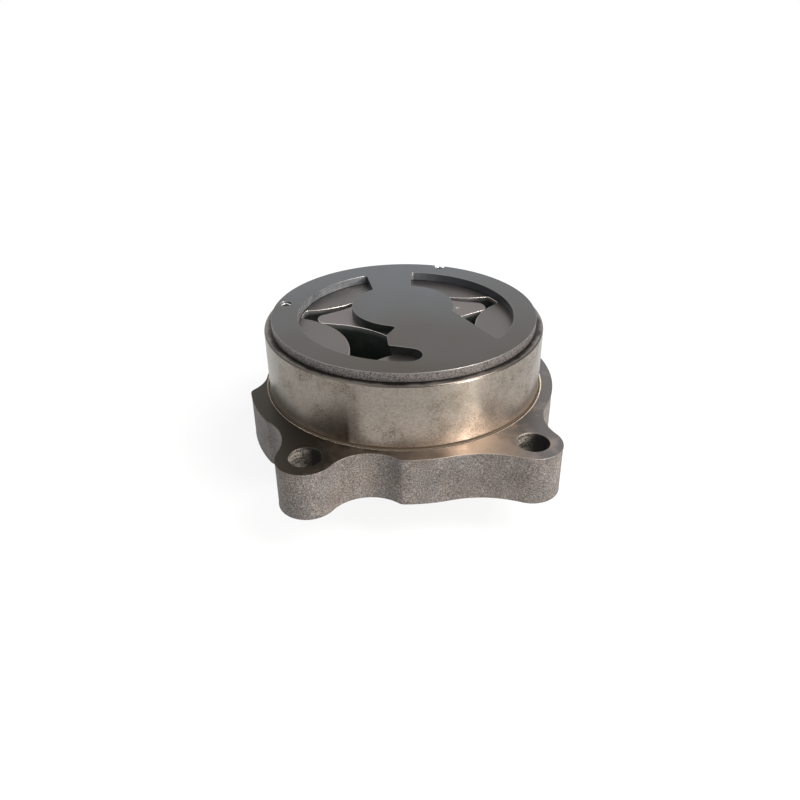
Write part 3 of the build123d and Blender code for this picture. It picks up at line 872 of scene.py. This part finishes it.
class PUMP_OT_rotors(bpy.types.Operator):
    """Dress the inner and the outer rotor"""

    bl_idname = "pump.rotors"
    bl_label = "Rotors"

    def execute(self, context):
        look = context.scene.pump_rotor
        flank = shaded_flank(look)
        edge = plain_metal("burnished_edge", look.edge_colour, 0.28)
        rotors = [("inner_rotor", "drive", look.inner_face), ("outer_rotor", "ring", look.outer_face)]

        def zone_of(centre, normal):
            return "face" if abs(normal.z) > 0.9 else "flank"

        for node, body, colour in rotors:
            shape = clean_copy(node)
            paint(shape, zone_of, ["face", "flank"])
            materials = [ground_steel("sintered_" + node, colour, look.face_tint, 0.4), flank, edge]
            piece = break_edges(as_object(node + "_finish", shape, materials), look.edge, edge_material=2)
            mount_piece(piece, body, "sintered_steel", node)
        return {"FINISHED"}


class PUMP_OT_drive(bpy.types.Operator):
    """Dress the shaft, bush, washer, gear and the small parts that hold them"""

    bl_idname = "pump.drive"
    bl_label = "Drive parts"

    def execute(self, context):
        look = context.scene.pump_drive
        shaft = plain_metal("ground_shaft_steel", look.shaft, 0.28)
        gear = ground_steel("hobbed_gear_steel", look.gear, look.gear_tint, 0.42)
        clip = plain_metal("phosphated_steel", look.clip, roughness=0.55, metallic=0.3)
        bush = plain_metal("sintered_bronze", look.bush, 0.4)
        washer = plain_metal("washer_steel", look.washer, 0.3)
        parts = [
            ("drive_shaft", "drive", "shaft_steel", shaft),
            ("rotor_cross_pin", "drive", "shaft_steel", shaft),
            ("gear_key", "drive", "shaft_steel", shaft),
            ("drive_gear", "drive", "gear_steel", gear),
            ("gear_clip", "drive", "phosphated_steel", clip),
            ("shaft_bush", "housing", "bearing_bronze", bush),
            ("thrust_washer", "housing", "spring_steel", washer),
        ]
        for node, body, slot, material in parts:
            shape = clean_copy(node)
            paint(shape, lambda centre, normal: "all", ["all"])
            piece = break_edges(as_object(node + "_finish", shape, [material]), look.edge)
            mount_piece(piece, body, slot, node)
        return {"FINISHED"}


class PUMP_OT_stage(bpy.types.Operator):
    """Set the floor, the lamps, the world and the camera"""

    bl_idname = "pump.stage"
    bl_label = "Stage"

    def execute(self, context):
        look = context.scene.pump_stage
        scene = context.scene
        scene.view_settings.view_transform = "Standard"

        shape = bmesh.new()
        bmesh.ops.create_grid(shape, x_segments=1, y_segments=1, size=FLOOR_SIZE)
        for corner in shape.verts:
            corner.co.z = CAD_BOX[0][2] - FLOOR_GAP
        floor = as_object("floor", shape, [pale_floor(look)])

        set_world(scene, look)
        add_lamp("key", look.key_power, WARM_LIGHT, size=0.4, bearing=-32, height=52)
        add_lamp("low", look.low_power, WARM_LIGHT, size=0.07, bearing=-47, height=16)
        add_lamp("fill", look.fill_power, COOL_LIGHT, size=0.5, bearing=-150, height=40)
        add_camera(scene)
        return {"FINISHED"}


def white_to_camera(tree):
    """One for rays from the camera, in reflections and through glass, nothing for the rest."""
    rays = add(tree, "ShaderNodeLightPath")
    seen = add(
        tree,
        "ShaderNodeMath",
        {0: rays.outputs["Is Camera Ray"], 1: rays.outputs["Is Glossy Ray"]},
        operation="MAXIMUM",
    )
    shown = add(
        tree,
        "ShaderNodeMath",
        {0: seen.outputs[0], 1: rays.outputs["Is Transmission Ray"]},
        operation="MAXIMUM",
    )
    return shown.outputs[0]


def pale_floor(look):
    """A pale floor that the camera and reflections see as white, with the object's soft shadow."""
    material, tree, shader, coords = start_material("pale_floor", 0.0, 0.9)
    away = add(tree, "ShaderNodeVectorMath", {0: coords}, operation="LENGTH")
    whiteness = remap(tree, away.outputs["Value"], *FLOOR_FADE, FLOOR_WHITE, 1.0)
    shader.inputs["Base Color"].default_value = look.floor
    share = add(tree, "ShaderNodeMath", {0: white_to_camera(tree), 1: whiteness}, operation="MULTIPLY")
    white = add(tree, "ShaderNodeEmission", {"Strength": 1.0})
    mixed = add(
        tree,
        "ShaderNodeMixShader",
        {0: share.outputs[0], 1: shader.outputs["BSDF"], 2: white.outputs["Emission"]},
    )
    output = next(node for node in tree.nodes if node.type == "OUTPUT_MATERIAL")
    tree.links.new(mixed.outputs[0], output.inputs["Surface"])
    return material


def set_world(scene, look):
    """Soft light from all round, which the camera and reflections see as white."""
    world = bpy.data.worlds.new("studio")
    scene.world = world
    world.use_nodes = True
    tree = world.node_tree
    tree.nodes.clear()
    strength = add(
        tree,
        "ShaderNodeMapRange",
        {"Value": white_to_camera(tree), "To Min": look.ambient, "To Max": 1.0},
    )
    light = add(tree, "ShaderNodeBackground", {"Strength": strength.outputs["Result"]})
    light.inputs["Color"].default_value = srgb("#ffffff")
    add(tree, "ShaderNodeOutputWorld", {"Surface": light.outputs["Background"]})


def add_lamp(name, power, colour, size, bearing, height):
    """A square area lamp that faces the pump from a bearing and a height, both in degrees."""
    place = Matrix.Rotation(math.radians(bearing), 3, "Z") @ (
        Matrix.Rotation(math.radians(-height), 3, "Y") @ Vector((LAMP_DISTANCE, 0, 0))
    )
    lamp = bpy.data.lights.new(name, "AREA")
    lamp.energy, lamp.size, lamp.color = power, size, colour
    holder = bpy.data.objects.new(name, lamp)
    holder.location = place
    holder.rotation_euler = (-place).to_track_quat("-Z", "Y").to_euler()
    bpy.context.scene.collection.objects.link(holder)


def add_camera(scene):
    """A wide lens close to the pump, looking down on it from the front."""
    level = Vector((math.sin(CAMERA_HEADING), -math.cos(CAMERA_HEADING), 0))
    onward = Vector((math.cos(CAMERA_HEADING), math.sin(CAMERA_HEADING), 0))
    ahead = math.cos(CAMERA_PITCH) * onward - math.sin(CAMERA_PITCH) * Vector((0, 0, 1))
    upright = level.cross(ahead)
    right = math.cos(CAMERA_ROLL) * level + math.sin(CAMERA_ROLL) * upright
    above = -math.sin(CAMERA_ROLL) * level + math.cos(CAMERA_ROLL) * upright
    lens = bpy.data.cameras.new("camera")
    lens.lens = CAMERA_LENS
    lens.sensor_width = SENSOR_WIDTH
    lens.clip_start = 0.01
    lens.clip_end = 50.0
    holder = bpy.data.objects.new("camera", lens)
    turn = Matrix((right, above, -ahead)).transposed().to_4x4()
    holder.matrix_world = Matrix.Translation(CAMERA_PLACE) @ turn
    scene.collection.objects.link(holder)
    scene.camera = holder


class PUMP_PT_sidebar(bpy.types.Panel):
    """Lists the pump's pieces and their sizes and colours"""

    bl_idname = "PUMP_PT_sidebar"
    bl_label = "Oil Pump"
    bl_space_type = "VIEW_3D"
    bl_region_type = "UI"
    bl_category = "Oil Pump"

    def draw(self, context):
        for look_name, operators in GROUPS:
            box = self.layout.box()
            look = getattr(context.scene, look_name)
            for name in look.__annotations__:
                box.prop(look, name)
            for operator in operators:
                box.operator(operator.bl_idname)


LOOKS = {
    "pump_casting": PumpCastingLook,
    "pump_plate": PumpPlateLook,
    "pump_rotor": PumpRotorLook,
    "pump_drive": PumpDriveLook,
    "pump_stage": PumpStageLook,
}
GROUPS = [
    ("pump_casting", [PUMP_OT_casting]),
    ("pump_plate", [PUMP_OT_plate, PUMP_OT_pins]),
    ("pump_rotor", [PUMP_OT_rotors]),
    ("pump_drive", [PUMP_OT_drive]),
    ("pump_stage", [PUMP_OT_stage]),
]
OPERATORS = [operator for _, operators in GROUPS for operator in operators]


def register():
    for kind in (*LOOKS.values(), *OPERATORS, PUMP_PT_sidebar):
        bpy.utils.register_class(kind)
    for name, kind in LOOKS.items():
        setattr(bpy.types.Scene, name, PointerProperty(type=kind))


def unregister():
    for name in LOOKS:
        delattr(bpy.types.Scene, name)
    for kind in (PUMP_PT_sidebar, *reversed(OPERATORS), *reversed(LOOKS.values())):
        bpy.utils.unregister_class(kind)


def main():
    """Builds every piece and the stage."""
    register()
    for operator in OPERATORS:
        getattr(bpy.ops.pump, operator.bl_idname.split(".")[1])()


if __name__ == "__main__":
    main()
